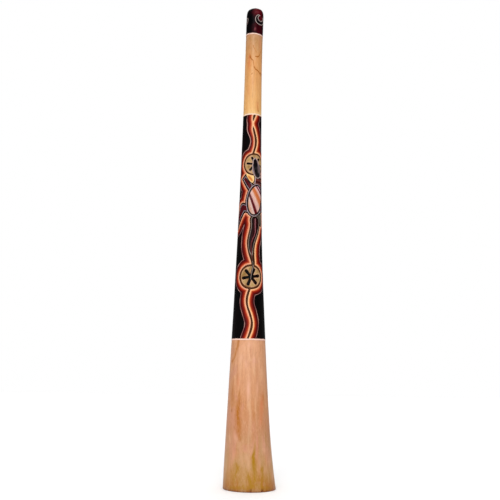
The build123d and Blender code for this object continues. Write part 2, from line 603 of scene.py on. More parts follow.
# Stains that run along a path of (u, z, half width), each with its strength.
STAIN_SOFTNESS = 5.0
BROWN_PATHS = (
    (((-25, 390, 3.2), (-30, 365, 3.0), (-34, 357, 3.0), (-40, 337, 2.8), (-49, 326, 4.0)), 0.90),
    (((-22, 256, 0.0), (-24, 222, 5.0), (-26, 204, 6.0), (-27, 187, 6.4), (-25, 165, 7.4),
      (-24.5, 149, 6.8), (-21, 130, 3.0)), 0.75),
    (((35, 34, 0.0), (34.2, 18, 2.6), (35, 5, 4.5)), 0.90),
)
OLIVE_PATHS = (
    (((19.4, 140, -2.0), (18, 115, 0.8), (15.5, 98, 3.0), (12.6, 83, 5.4), (14.7, 64, 5.6), (16, 49, 3.8),
      (14.5, 26, 3.6)), 1.0),
    (((-6.5, 58, 0.0), (-1, 38, 3.8), (3.6, 27, 4.8), (7, 14, 6.0)), 1.0),
    (((-64, 8, 1.5), (-42, 10, 4.0), (-18, 12, 5.5), (0, 12, 7.0), (16, 16, 7.0), (40, 10, 5.0),
      (66, 8, 1.5)), 0.70),
    (((-33, 70, 2.0), (-29, 60, 6.0), (-31, 50, 5.0), (-41, 30, 3.6)), 0.75),
    (((-19, 28, 1.5), (-14, 10, 5.0)), 0.75),
    (((38, 46, 2.0), (36, 32, 3.4), (30, 16, 3.0)), 0.8),
)
SCATTER_SEED = 7
SCATTER_COUNT = 34


def soft_marks(u, z, marks):
    """The strongest of the marks at each point."""
    found = np.zeros(np.broadcast(u, z).shape)
    for at_u, at_z, wide, tall, lean, strength in marks:
        rise = z - at_z
        across = (u - at_u - lean * rise) / wide
        found = np.maximum(found, strength * np.exp(-(across**2) - (rise / tall) ** 2))
    return found


def soft_paths(u, z, paths):
    """The strongest of the stains that run along paths at each point."""
    found = np.zeros(u.shape)
    for path, strength in paths:
        depth = -stroke(u, z, path)
        found = np.maximum(found, strength * eased(depth, -STAIN_SOFTNESS, STAIN_SOFTNESS))
    return found


def scattered_marks(low, high, from_angle, to_angle, wide, tall, strength):
    """Marks at random places of the bare wood between two heights."""
    marks = []
    for _ in range(SCATTER_COUNT):
        z = draw.uniform(low, high)
        u = math.radians(draw.uniform(from_angle, to_angle)) * skin_radius(z)
        marks.append((
            u, z, wide * draw.uniform(0.5, 1.5), tall * draw.uniform(0.4, 1.6),
            draw.uniform(-0.12, 0.12), strength * draw.uniform(0.4, 1.0),
        ))
    return marks


draw = np.random.default_rng(SCATTER_SEED)
BACK_ANGLES = (95, 265)
back_brown = scattered_marks(0, 380, *BACK_ANGLES, 5, 28, 0.6)
back_brown += scattered_marks(1000, 1220, *BACK_ANGLES, 3, 12, 0.35)
back_olive = scattered_marks(0, 90, *BACK_ANGLES, 8, 18, 0.6)
back_red = scattered_marks(0, 380, *BACK_ANGLES, 8, 24, 0.35)
back_red += scattered_marks(1000, 1220, *BACK_ANGLES, 5, 16, 0.4)
back_dark = scattered_marks(0, 5, *BACK_ANGLES, 4, 5, 0.5)
back_pale = scattered_marks(200, 380, *BACK_ANGLES, 3, 16, 0.7)
FRONT_ANGLES = (-85, 85)
front_olive = scattered_marks(8, 66, *FRONT_ANGLES, 4.5, 13, 0.5)
front_pale = scattered_marks(30, 140, *FRONT_ANGLES, 5, 16, 0.4)


# ---------------------------------------------------------------- trunk and glue

ROW_STEP = 4.0
TRUNK_COLUMNS = 70
SEAM_EASE = 0.008
SEAM_DIP = 0.25
GOUGE = 0.3
RIM_SHADE, RIM_SHADE_HEIGHT = 0.8, 2.6


def trunk_rows():
    """Heights of the wall, and how far its outside and inside are drawn in to round the bell's rim."""
    turn = np.radians(np.array([0, 22, 45, 67]))
    rim_height = RIM_ROUNDING * (1 - np.cos(turn))
    rim_inset = RIM_ROUNDING * (1 - np.sin(turn))
    wall = np.arange(RIM_ROUNDING, SEAT_BOTTOM, ROW_STEP)
    seat = np.linspace(SEAT_BOTTOM, TRUNK_TOP, 8)
    heights = np.concatenate([rim_height, wall, [SEAT_BOTTOM - 0.1], seat])
    inset = np.zeros(len(heights))
    inset[: len(turn)] = rim_inset
    return heights, inset


def trunk_half(name, node, middle, marks, paths):
    """One half of the log, round to the seam on each side of its middle angle."""
    heights, inset = trunk_rows()
    share = np.linspace(-1 + SEAM_EASE, 1 - SEAM_EASE, TRUNK_COLUMNS)
    share = np.concatenate([[-1], share, [1]])[:, None]
    seam = np.where(abs(share) == 1, SEAM_DIP, 0)

    def wall(radius):
        reach = np.arccos(SEAM_GAP / radius)
        return middle + share * reach

    z = np.broadcast_to(heights, (len(share), len(heights)))
    angle = wall(skin_radius(heights) + 0 * share)
    outer_radius = skin(angle, z) - inset - seam
    angle = wall(outer_radius)
    outer = place(angle, z, outer_radius)
    in_seat = heights >= SEAT_BOTTOM
    bore = np.where(in_seat, SEAT_RADIUS, bore_radius(heights)) + inset
    inner_angle = wall(bore + 0 * share)
    gouged = GOUGE * np.sin(4 * inner_angle + z / 31) * np.sin(z / 17 + 2 * inner_angle)
    inner_radius = bore + np.where(in_seat, 0, gouged)
    inner = place(wall(inner_radius), z, inner_radius)

    grid, lining = numbered(*z.shape), numbered(*z.shape, z.size)
    groups = (
        (quads(grid), 0), (quads(lining), 1),
        (between(grid[:, 0], lining[:, 0]), 2), (between(grid[:, -1], lining[:, -1]), 2),
        (between(grid[0], lining[0]), 1), (between(grid[-1], lining[-1]), 1),
    )
    faces = np.concatenate([faces for faces, _ in groups])
    choice = np.concatenate([np.full(len(faces), kind) for faces, kind in groups])
    u = angle * skin_radius(z)
    values = {key: soft_marks(u, z, found) for key, found in marks.items()}
    for key, found in paths.items():
        values[key] = np.maximum(values[key], soft_paths(u, z, found))
    values["dark"] = np.maximum(values["dark"], RIM_SHADE * np.exp(-z / RIM_SHADE_HEIGHT))
    values = {key: np.concatenate([np.clip(v, 0, 1).ravel(), np.zeros(u.size)]) for key, v in values.items()}
    make_piece(
        name, np.concatenate([outer.reshape(-1, 3), inner.reshape(-1, 3)]), faces, "wood", node,
        values=values, finish=wood_finishes, choice=choice,
    )


def glue_lines(name):
    """Two thin strips of glue, a little below the skin, that fill both seams."""
    heights, inset = trunk_rows()
    thin = np.array([-1, 1, 1, -1]) * SEAM_GAP
    below = 0.15
    points, faces = [], []
    for side in (1, -1):
        outer = skin(side * math.pi / 2, heights) - inset - SEAM_DIP - below
        inner = np.where(heights >= SEAT_BOTTOM, SEAT_RADIUS, bore_radius(heights)) + inset + below
        reach = np.stack([outer, outer, inner, inner])
        x = log_centre(heights) + side * reach
        strip = np.stack([x, thin[:, None] + 0 * x, heights + 0 * x], -1) * MM
        grid = numbered(4, len(heights), sum(len(p) for p in points))
        faces += quads(closed(grid)).tolist() + [grid[:, 0].tolist(), grid[:, -1].tolist()]
        points.append(strip.reshape(-1, 3))
    make_piece(name, np.concatenate(points), faces, "glue", "glue_seam", finish=[glue()])


wood_finishes = [bare_wood(), bore_wood(), end_grain()]
trunk_half("trunk_front_wood", "trunk_front", 0.0, {
    "brown": BROWN_MARKS_AND_SHADE, "olive": list(OLIVE_MARKS) + front_olive, "red": RED_MARKS, "dark": DARK_MARKS,
    "pale": list(PALE_MARKS) + front_pale,
}, {"brown": BROWN_PATHS, "olive": OLIVE_PATHS})
trunk_half("trunk_back_wood", "trunk_back", math.pi, {
    "brown": back_brown, "olive": back_olive, "red": back_red, "dark": back_dark, "pale": back_pale,
}, {})
glue_lines("glue_lines")


# ---------------------------------------------------------------- coats and lines round the trunk

SLEEVE_COLUMNS = 144
BURIED = -0.2
EDGE_ROUNDING = 0.4


def sleeve(name, slot_name, node, bottom, top, thickness, finish, values=None, step=4.0):
    """A closed coat round the trunk, between two edges that wander a little, as brushed paint does."""
    angle = np.linspace(0, 2 * math.pi, SLEEVE_COLUMNS, endpoint=False)[:, None]
    low, high = bottom(angle), top(angle)
    length = float(np.mean(high - low))
    inside = np.linspace(0, 1, max(3, int(length / step)))
    rounded = np.array([0, 0.3, 1.0]) * EDGE_ROUNDING / length
    share = np.concatenate([rounded, inside[1:-1], 1 - rounded[::-1]])
    rise = np.minimum(np.minimum(share, 1 - share) * length / EDGE_ROUNDING, 1)
    lift = thickness * np.sqrt(1 - (1 - rise) ** 2)
    z = low + (high - low) * share
    outer = on_skin(angle, z, lift[None, :])
    inner = on_skin(angle, z, BURIED)
    grid, lining = closed(numbered(*z.shape)), closed(numbered(*z.shape, z.size))
    faces = np.concatenate([
        quads(grid), quads(lining), between(grid[:, 0], lining[:, 0]), between(grid[:, -1], lining[:, -1]),
    ])
    kept = {key: np.tile(rule(angle, z).ravel(), 2) for key, rule in (values or {}).items()}
    points = np.concatenate([outer.reshape(-1, 3), inner.reshape(-1, 3)])
    make_piece(name, points, faces, slot_name, node, values=kept, finish=[finish])


band_low, band_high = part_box("band_coat")
mouth_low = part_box("mouth_coat")[0]
BAND_BOTTOM, BAND_TOP = band_low.z / MM, band_high.z / MM
COAT = 0.4
LINE = 0.55
MOUTH_TILT = math.tan(math.radians(4.0))
MOUTH_EDGE = mouth_low.z / MM + MOUTH_TILT * skin_radius(TRUNK_TOP)
LINE_OVERLAP = 0.5


def wander(angle, size, phase):
    """The unsteadiness of a line painted by hand."""
    slow, quick = np.sin(3 * angle + phase), np.sin(13 * angle - phase)
    return size * (slow + 0.6 * np.sin(7 * angle + 2 * phase) + 0.4 * quick)


def mouth_edge(angle):
    """The lower edge of the mouth's coat, which dips towards +X."""
    return MOUTH_EDGE - MOUTH_TILT * skin_radius(MOUTH_EDGE) * np.sin(angle) + wander(angle, 0.25, 1.0)


def band_top(angle):
    return BAND_TOP + wander(angle, 0.2, 2.2)


def band_bottom(angle):
    return BAND_BOTTOM + wander(angle, 0.2, 0.4)


RED_MIDDLE = math.radians(33)
# Painted highlights on the mouth's lacquer: u, z, half width, half height, lean and strength.
HIGHLIGHT_SPOT = (0.5, 1237.5, 2.8, 4.0, 0.0, 0.55)
TOP_HIGHLIGHT_SPOT = (6.0, 1287.0, 7.0, 3.5, 0.0, 0.18)


def wax_red(angle, z):
    """Share of red in the mouth's lacquer: on the front right, and on the back left across from it."""
    lobe = 0.5 + 0.5 * np.cos(2 * (angle - RED_MIDDLE) + 0.4 * np.sin(z / 7.0))
    return eased(lobe, 0.02, 0.95) * (0.66 + 0.3 * eased(z, 1262, 1286))


def wax_painted_highlight(angle, z):
    """Where the mouth's lacquer is painted paler, as painted highlights."""
    u = angle * skin_radius(z)
    return soft_marks(u, z, [HIGHLIGHT_SPOT]) + soft_marks(u, z, [TOP_HIGHLIGHT_SPOT])


sleeve("band_lacquer", "black_lacquer", "band_coat", band_bottom, band_top, COAT, black_lacquer())
sleeve(
    "mouth_lacquer", "black_lacquer", "mouth_coat", mouth_edge, lambda a: TRUNK_TOP + 0 * a, COAT,
    mouth_lacquer(), values={"red": wax_red, "painted_highlight": wax_painted_highlight}, step=2.0,
)

CREAM_LINE = brushed_paint("cream_line", "width", (
    (-2.2, (216, 160, 130)), (-1.2, (246, 208, 180)), (0.0, (255, 234, 206)), (1.2, (250, 216, 188)),
    (2.2, (214, 160, 130)),
), wear=0.12)
PINK_LINE = brushed_paint("pink_line", "width", (
    (-2.2, (208, 150, 132)), (-1.2, (240, 198, 180)), (0.0, (250, 218, 202)), (1.2, (244, 202, 184)),
    (2.2, (206, 150, 130)),
), wear=0.15)


def cream_line(name, node, edge, reach, finish):
    """A line along an edge, which reaches some millimetres up from it, or down where it is negative."""
    def near(angle):
        return edge(angle) - math.copysign(LINE_OVERLAP, reach)

    def far(angle):
        return edge(angle) + reach + wander(angle, 0.2, 3.1)

    def across(angle, z):
        return z - (near(angle) + far(angle)) / 2

    low, high = (near, far) if reach > 0 else (far, near)
    sleeve(name, "cream_paint", node, low, high, LINE, finish, values={"width": across}, step=0.8)


cream_line("line_under_mouth", "mouth_line", mouth_edge, -3.0, PINK_LINE)
cream_line("line_over_band", "band_upper_line", band_top, 4.0, CREAM_LINE)
cream_line("line_under_band", "band_lower_line", band_bottom, -3.8, PINK_LINE)


# ---------------------------------------------------------------- wax mouthpiece

WAX_BORE, LIP_ROUNDING = 15.0, 2.5


def mouthpiece(name):
    """A ring of wax: a sleeve in the bore and a thumbed lip over the end of the wood, lacquered outside."""
    lip = MOUTH_TOP - LIP_ROUNDING
    loop = [(WAX_BORE, z) for z in np.linspace(SEAT_BOTTOM, lip, 14)[:-1]]
    loop += arc((WAX_BORE + LIP_ROUNDING, lip), LIP_ROUNDING, 180, 90, 6)
    inside = len(loop) + 1
    dome = MOUTH_TOP - CROWN_HEIGHT * (1 - np.cos(np.radians(np.arange(6, 52, 4))))
    top = skin_radius(TRUNK_TOP)
    loop += [(top - crown(z), z) for z in dome if z > TRUNK_TOP]
    loop += [(top - crown(TRUNK_TOP), TRUNK_TOP), (SEAT_RADIUS, TRUNK_TOP)]
    outside = len(loop) - 1
    loop += [(SEAT_RADIUS, z) for z in np.linspace(TRUNK_TOP, SEAT_BOTTOM, 6)[1:]]
    radius, height = np.array(loop).T
    angle = np.linspace(0, 2 * math.pi, SLEEVE_COLUMNS, endpoint=False)[:, None]
    at_lip = eased(height, TRUNK_TOP + 1, TRUNK_TOP + 7)
    thumbed = 0.30 * np.sin(3 * angle + 0.8) + 0.16 * np.sin(7 * angle) + 0.1 * np.sin(11 * angle + 1.4)
    skinned = (radius > SEAT_RADIUS + 2) & (height >= TRUNK_TOP)
    flush = np.where(skinned, COAT + hand_work(angle, TRUNK_TOP), 0) * (1 - at_lip)
    r = radius + thumbed * at_lip + flush
    z = height + 0.25 * (np.sin(5 * angle + 2.0) - 1) * at_lip
    points = np.stack([r * np.sin(angle), -r * np.cos(angle), z + 0 * r], -1) * MM
    columns, rows = r.shape
    faces = quads(closed(closed(numbered(columns, rows)).T).T)
    row = np.tile(np.arange(rows), columns)
    choice = ((row >= inside) & (row < outside)).astype(int)
    values = {"red": wax_red(angle, z + 0 * r), "painted_highlight": wax_painted_highlight(angle, np.minimum(z, TRUNK_TOP) + 0 * r)}
    finish = [beeswax(), bpy.data.materials["mouth_lacquer"]]
    make_piece(name, points, faces, "beeswax", "wax_mouthpiece", values=values, finish=finish, choice=choice)


mouthpiece("mouthpiece_wax")


# ---------------------------------------------------------------- films of paint

FILM_WALL = 0.04
FILM_EDGE = 0.9


def film(name, slot_name, field, area, step, thickness, finish, base=COAT, values=None):
    """A closed raised film of paint where field(u, z) is positive, rounded off towards its edge.

    field gives the distance inside the film's edge in millimetres. area is its lowest u, z and its
    highest u, z, and step is how fine its grid is. base is the height above the skin that it lies
    on. values are rules for the numbers kept at its points."""
    low_u, low_z, high_u, high_z = area
    u = np.arange(low_u, high_u + step, step)
    z = np.arange(low_z, high_z + step, step)
    grid_u, grid_z = (g.ravel() for g in np.meshgrid(u, z, indexing="ij"))
    depth = field(grid_u, grid_z).reshape(len(u), len(z)).copy()
    for edge in (depth[0], depth[-1], depth[:, 0], depth[:, -1]):
        np.minimum(edge, -0.01, out=edge)
    depth = depth.ravel()
    cells = quads(numbered(len(u), len(z)))
    count = (depth[cells] > 0).sum(1)

    # Points on the film's edge lie between a grid point inside and one outside.
    faces = cells[count == 4].tolist()
    crossings = {}
    ends = []
    for cell in cells[(count > 0) & (count < 4)].tolist():
        face = []
        for here, there in zip(cell, cell[1:] + cell[:1]):
            if depth[here] > 0:
                face.append(here)
            if (depth[here] > 0) != (depth[there] > 0):
                key = (min(here, there), max(here, there))
                if key not in crossings:
                    crossings[key] = len(depth) + len(crossings)
                    ends.append(key)
                face.append(crossings[key])
        faces.append(face)
    if ends:
        first, second = np.array(ends).T
        share = np.clip(depth[first] / (depth[first] - depth[second]), 0.03, 0.97)
        grid_u = np.concatenate([grid_u, grid_u[first] + share * (grid_u[second] - grid_u[first])])
        grid_z = np.concatenate([grid_z, grid_z[first] + share * (grid_z[second] - grid_z[first])])
        depth = np.concatenate([depth, np.zeros(len(ends))])
    used = np.unique(np.concatenate([np.array(face) for face in faces]))
    fresh = np.full(len(depth), -1)
    fresh[used] = np.arange(len(used))
    faces = [fresh[face].tolist() for face in faces]
    grid_u, grid_z, depth = grid_u[used], grid_z[used], depth[used]

    # The underside repeats the top inside the coat, and a wall joins them along every free edge.
    total = len(used)
    sides = {}
    for face in faces:
        for here, there in zip(face, face[1:] + face[:1]):
            if (there, here) in sides:
                del sides[(there, here)]
            else:
                sides[(here, there)] = None
    under = [[total + k for k in reversed(face)] for face in faces]
    walls = [[there, here, total + here, total + there] for here, there in sides]
    angle = grid_u / skin_radius(grid_z)
    lift = base + FILM_WALL + thickness * np.sqrt(1 - (1 - np.clip(depth / FILM_EDGE, 0, 1)) ** 2)
    top = on_skin(angle, grid_z, lift)
    bottom = on_skin(angle, grid_z, base + BURIED)
    kept = {"inside": np.tile(depth, 2)}
    for key, rule in (values or {}).items():
        kept[key] = np.tile(rule(grid_u, grid_z), 2)
    make_piece(
        name, np.concatenate([top, bottom]), faces + under + walls, slot_name, values=kept, finish=[finish],
    )


# ---------------------------------------------------------------- the painting's layout

UPPER_DISC, UPPER_RADIUS, UPPER_FACE = (9.5, 853.0), 30.9, 26.9
LOWER_DISC, LOWER_RADIUS, LOWER_FACE = (4.8, 547.4), 33.0, 28.0
RIVER_STEP = 5.0
FIGURE_GAP = 2.4
FILM_GAP = 0.2

# The tortoise, seen from above with its head up. Strokes are rows of (u, z, half width), the front
# leg is corners of (u, z), and the tail's course and width are rows of (z, u) and (z, half width).
SHELL_MIDDLE, SHELL_HALF, SHELL_LEAN = (13.6, 755), (24.4, 44.8), math.radians(8)
BODY_AXIS = 20.5
HEAD = ((10.4, 869, 0.8), (10.8, 863, 4.6), (12.2, 850, 6.6), (14, 837, 5.0), (19, 824, 6.8))
HEAD_BORDER = (
    (10.6, 869.5, 2.0), (12.1, 860, 8.0), (13.8, 849, 11.4), (16.8, 838, 14.0), (19.5, 829, 12.5),
)
NECK = ((22.5, 821, 10.3), (23.0, 799, 11.5))
NECK_BORDER = ((12.6, 819, 1.1), (11.6, 809.5, 1.1), (11.2, 799, 1.0))
FRONT_LEG = ((-14.0, 826.5), (9, 797), (1, 768), (-27, 813.6))
LEFT_HIND_LEG = ((-48, 684, 8.0), (-33, 713, 9.0), (-21, 735, 10.4), (2, 729, 9.0))
RIGHT_HIND_LEG = ((56, 748, 8.0), (44, 741, 9.0), (24, 727, 8.5))
# A painted grey sheen, standing in for a highlight on the dark paint, lies between the right hind leg and
# the tail.
GREY_SHEEN_STROKE = ((28, 712, 8.5), (32, 698, 7.0), (34, 688, 4.0))
TAIL_COURSE = (
    (700, 14.0), (684, 14.2), (667, 11.6), (650, 6.6), (636, 3.6), (620, 4.0), (601, 7.2), (584, 9.6),
    (576, 10.0),
)
TAIL_SPINE = (
    (14.0, 704, 0.9), (14.0, 690, 1.1), (15.0, 668, 1.1), (12.5, 658, 1.0), (8.3, 650, 1.1), (4.6, 638, 1.3),
    (3.6, 630, 1.3), (4.2, 616, 1.2), (6.5, 600, 1.0), (8.6, 590, 0.6),
)
TAIL_WIDTH = (
    (576, 1.4), (584, 2.6), (601, 4.2), (617, 6.3), (634, 8.4), (650, 10.2), (667, 11.2), (700, 12.6),
)
TAIL_THREAD = ((8.6, 590, 1.8), (10.4, 576, 1.4), (7.0, 561, 1.2), (5.0, 551, 1.1), (3.9, 541, 0.9))
# A height about which something is drawn in, and how far up and down that reaches.
PINCH = (917, 24)
THINNED = (966, 11)
# Waves of the rivers' middle line: middle, swing, the height of a crest and the length of a wave.
UPPER_WAVE = (6.9, -4.6, 968, 104)
LOWER_WAVE = (1.4, 7.1, 424, 120)
RIVER_HALF = 2.5


def river(top, bottom, wave, thinned):
    """A stroke that waves down the band, thinned in one place."""
    heights = np.arange(top, bottom, -RIVER_STEP)
    middle, swing, crest, length = wave
    course = middle + swing * np.cos(2 * math.pi * (heights - crest) / length)
    half = RIVER_HALF - thinned * near_height(heights, THINNED)
    return list(zip(course, heights, half))


def near_height(z, spot):
    """1 at a height, falling to nothing beyond its reach."""
    return np.exp(-(((z - spot[0]) / spot[1]) ** 2))


def tail():
    heights = np.arange(TAIL_COURSE[0][0], TAIL_COURSE[-1][0], -RIVER_STEP)
    course = np.polynomial.Polynomial.fit(*zip(*TAIL_COURSE), 5)
    return list(zip(course(heights), heights, np.interp(heights, *zip(*TAIL_WIDTH))))


RIVER_ABOVE = river(BAND_TOP + 10, UPPER_DISC[1] + UPPER_FACE, UPPER_WAVE, 3.5)
RIVER_BELOW = river(LOWER_DISC[1] - LOWER_FACE, BAND_BOTTOM - 10, LOWER_WAVE, 0.0)
TAIL = tail()


def shell_edge(u, z):
    return oval(u, z, SHELL_MIDDLE, SHELL_HALF, SHELL_LEAN)


def head_edge(u, z):
    return stroke(u, z, HEAD)


def head_border(u, z):
    """The pale border of the head, which broadens downwards."""
    return np.minimum(head_edge(u, z) - 2.2, stroke(u, z, HEAD_BORDER))


def neck_edge(u, z):
    return stroke(u, z, NECK)


def legs_edge(u, z):
    other = tuple((2 * BODY_AXIS - at_u, at_z) for at_u, at_z in reversed(FRONT_LEG))
    front = np.minimum(slab(u, z, FRONT_LEG), slab(u, z, other)) + FIGURE_GAP
    return least(front, stroke(u, z, LEFT_HIND_LEG), stroke(u, z, RIGHT_HIND_LEG))


def tail_edge(u, z):
    return stroke(u, z, TAIL)


def body_edge(u, z):
    return least(shell_edge(u, z), neck_edge(u, z), legs_edge(u, z))


def figure_edge(u, z):
    return np.minimum(body_edge(u, z), tail_edge(u, z))


def core_edge(u, z):
    """The distance outside everything that the contours run round, with a hand's unsteadiness."""
    found = least(
        stroke(u, z, RIVER_ABOVE), stroke(u, z, RIVER_BELOW),
        disc(u, z, UPPER_DISC, UPPER_RADIUS), disc(u, z, LOWER_DISC, LOWER_RADIUS),
        figure_edge(u, z) - FIGURE_GAP, stroke(u, z, GREY_SHEEN_STROKE),
    )
    found += 0.22 * np.sin(u / 7.3 + z / 11.7) + 0.16 * np.sin(z / 6.1 - u / 9.7)
    pinched = 0.40 * near_height(z, PINCH) * eased(-u, -8, 2)
    return found * (1 + pinched)


def motif_edge(u, z):
    """The distance outside the disc faces and the figure, which cover the dark ground."""
    return least(
        disc(u, z, UPPER_DISC, UPPER_FACE), disc(u, z, LOWER_DISC, LOWER_FACE), figure_edge(u, z),
    )


BAND_INSET = 0.3


def in_band(z, depth):
    """Cuts a film off at the edges of the band."""
    return least(depth, BAND_TOP - BAND_INSET - z, z - BAND_BOTTOM - BAND_INSET)


def contour(low, high):
    """A film that runs round the core between two distances from it."""
    def depth(u, z):
        away = core_edge(u, z)
        return in_band(z, np.minimum(away - low, high - away))
    return depth


PAINTED = (-84, 380, 92, 998)


# ---------------------------------------------------------------- insect tracks in the bare wood

# Galleries that insects left under the bark, filled flush by the varnish: (u, z, half width).
FRONT_TRACKS = (
    ((-10.3, 1164, 0.8), (-10.2, 1158, 1.9), (-7.7, 1152.5, 1.8), (-4.2, 1149, 1.5), (-1.4, 1146, 1.1),
     (-0.2, 1140, 0.7), (0, 1134, 0.8), (2, 1127.5, 1.3), (4.9, 1122.3, 1.5), (8.5, 1120.3, 1.9),
     (13.2, 1118, 1.7), (17.7, 1113.5, 1.7), (22, 1109, 1.4), (26, 1104, 0.9)),
    ((4.7, 1158.6, 1.2), (10.5, 1157.6, 1.9), (15.3, 1161, 1.5), (18, 1167.6, 1.0), (20.8, 1174, 0.8),
     (22, 1182, 0.5)),
    ((-5, 1202, 0.4), (-2.3, 1188, 0.8), (2.1, 1179.3, 0.7), (7.2, 1169.7, 0.4)),
    ((-5.4, 1107, 0.8), (-3, 1110.5, 1.0)),
    ((14, 1021, 0.4), (15, 1010, 0.9), (18, 1003, 1.1)),
)
TRACK_STEP = 8.0


def wandering_track(u, z, heading, steps):
    """A gallery that wanders from a point, its heading in radians from straight up."""
    points = []
    for count in range(steps):
        points.append((u, z, 0.6 + 1.0 * math.sin(math.pi * (count + 0.5) / steps)))
        heading += draw.uniform(-0.7, 0.7)
        u += TRACK_STEP * math.sin(heading)
        z += TRACK_STEP * math.cos(heading)
    return points


def tracks(name, area, paths):
    def depth(u, z):
        shake = 0.25 * np.sin(z / 1.9 + u / 2.7) + 0.2 * np.sin(u / 1.3 - z / 3.1)
        return -least(*(stroke(u + shake, z, path) for path in paths))
    film(name, "wood", depth, area, 0.45, 0.02, TRACK_FILL, base=0.0)


TRACK_FILL = brushed_paint("track_fill", "inside", (
    (-0.2, (212, 144, 78)), (0.5, (190, 116, 50)), (1.4, (166, 92, 32)),
))
BACK_STARTS = ((70, 1192, 2.9, 8), (52, 1120, -2.4, 7), (84, 1050, 0.5, 5), (60, 1030, -0.8, 4))
BACK_TRACKS = [wandering_track(*start) for start in BACK_STARTS]
tracks("insect_tracks_front", (-20, 996, 34, 1192), FRONT_TRACKS)
tracks("insect_tracks_back", (20, 996, 130, 1218), BACK_TRACKS)


# ---------------------------------------------------------------- the painting

GROUND = brushed_paint("brown_ground", "shade", (
    (0.0, (12, 4, 2)), (0.9, (24, 9, 3)), (1.3, (60, 27, 8)), (2.6, (80, 40, 12)),
))
CONTOUR_RED = brushed_paint("contour_red", "away", (
    (5.0, (200, 92, 46)), (6.2, (178, 56, 20)), (8.2, (142, 24, 8)), (11.0, (98, 6, 3)), (15.0, (52, 2, 2)),
), fleck=(84, 6, 4), fleck_share=0.35)
CONTOUR_MAUVE = brushed_paint("contour_mauve", "inside", (
    (0.0, (92, 46, 48)), (0.6, (146, 94, 94)), (1.2, (172, 122, 118)),
), fleck=(214, 168, 154), fleck_share=0.5)
CONTOUR_GLEAM = brushed_paint("contour_gleam", "inside", ((0.0, (150, 98, 92)), (1.0, (208, 162, 150))))
OCHRE = brushed_paint("ochre_disc", "inside", (
    (0.0, (168, 120, 84)), (1.4, (206, 164, 126)), (3.2, (186, 152, 100)), (9.0, (170, 136, 78)),
    (20.0, (184, 152, 94)),
), fleck=(132, 94, 40), fleck_share=0.75)

# The height of the contour's gleam, and a measure of its length.
GLEAM = (928, 34)


def contour_cream():
    """Cream that turns salmon on its left, yellow in its middle and orange towards the red."""
    f = Finish("contour_cream", roughness=0.38, gloss=0.08)
    strokes = f.noise(380, 110, detail=4, rough=0.65)
    shake = f.swing(strokes, 1.2)
    colour = f.ramp(f.value("side"), (
        (-14, (224, 144, 112)), (-4, (238, 166, 128)), (1, (250, 190, 140)), (8, (248, 176, 118)),
        (22, (230, 146, 110)),
    ))
    away = f.plus(f.value("away"), shake)
    colour = f.tint(colour, f.step(away, 2.4, 0.8), 0.35, (255, 214, 170))
    colour = f.tint(colour, f.step(away, 2.6, 5.2), 0.85, (208, 98, 52))
    f.paint(f.tint(colour, f.step(strokes, 0.54, 0.8), 0.25, (150, 70, 34)))
    f.dull(strokes, 0.28, 0.58)
    f.emboss(strokes, 0.35, 0.0004)
    return f.material


ABOVE_DISCS, BELOW_DISCS, BODY_MIDDLE = 880, 515, 8.0


def river_side(u, z):
    """How far right of the core's middle line a point is."""
    above = np.interp(z, *zip(*[(h, m) for m, h, _ in reversed(RIVER_ABOVE)]))
    below = np.interp(z, *zip(*[(h, m) for m, h, _ in reversed(RIVER_BELOW)]))
    return u - np.where(z > ABOVE_DISCS, above, np.where(z < BELOW_DISCS, below, BODY_MIDDLE))


def ground_shade(u, z):
    """Low at the edges of the ground and near the body, where it is black."""
    return np.minimum(0.9 - core_edge(u, z), 0.35 * body_edge(u, z))


def ground_field(u, z):
    return in_band(z, np.minimum(0.3 - core_edge(u, z), motif_edge(u, z) - 0.3))


def gleam_field(u, z):
    return np.minimum(contour(15.2, 17.8)(u, z), 1.6 - abs(z - GLEAM[0]) / GLEAM[1])


film("river_ground", "ochre_paint", ground_field, PAINTED, 0.9, 0.12, GROUND, values={"shade": ground_shade})
film("contour_cream", "cream_paint", contour(0.4, 4.9), PAINTED, 0.9, 0.3, contour_cream(),
     values={"side": river_side, "away": core_edge})
film("contour_red", "red_paint", contour(5.0, 14.9), PAINTED, 1.2, 0.2, CONTOUR_RED,
     values={"away": core_edge})
film("contour_mauve", "cream_paint", contour(15.6, 17.4), PAINTED, 0.9, 0.25, CONTOUR_MAUVE)
film("contour_gleam", "cream_paint", gleam_field, (-30, 870, 4, 980), 0.7, 0.14, CONTOUR_GLEAM,
     base=COAT + 0.2)


def bars(u, z, middle, first, reach, half, start=0.0):
    """The distance outside six bars that stand out like spokes, the first at an angle in degrees."""
    found = np.full(u.shape, 1e9)
    for turn in range(6):
        a = math.radians(first + 60 * turn)
        spoke = [
            (middle[0] + far * math.cos(a), middle[1] + far * math.sin(a), wide)
            for far, wide in zip((start, reach), half)
        ]
        found = np.minimum(found, stroke(u, z, spoke))
    return found


def upper_face(u, z):
    spokes = bars(u, z, UPPER_DISC, -8, 19.5, (2.2, 3.0))
    face = -disc(u, z, UPPER_DISC, UPPER_FACE)
    return least(face, spokes, head_border(u, z) - FILM_GAP, neck_edge(u, z) - 1.5)


def lower_face(u, z):
    spokes = np.minimum(bars(u, z, LOWER_DISC, 9, 20.5, (3.2, 4.3), 2), disc(u, z, LOWER_DISC, 8.0))
    return least(-disc(u, z, LOWER_DISC, LOWER_FACE), spokes, stroke(u, z, TAIL_THREAD) - 1.2)


def around(middle, reach):
    return (middle[0] - reach, middle[1] - reach, middle[0] + reach, middle[1] + reach)


film("upper_disc", "ochre_paint", upper_face, around(UPPER_DISC, 30), 0.6, 0.28, OCHRE)
film("lower_disc", "ochre_paint", lower_face, around(LOWER_DISC, 32), 0.6, 0.28, OCHRE)


# ---------------------------------------------------------------- the painted tortoise

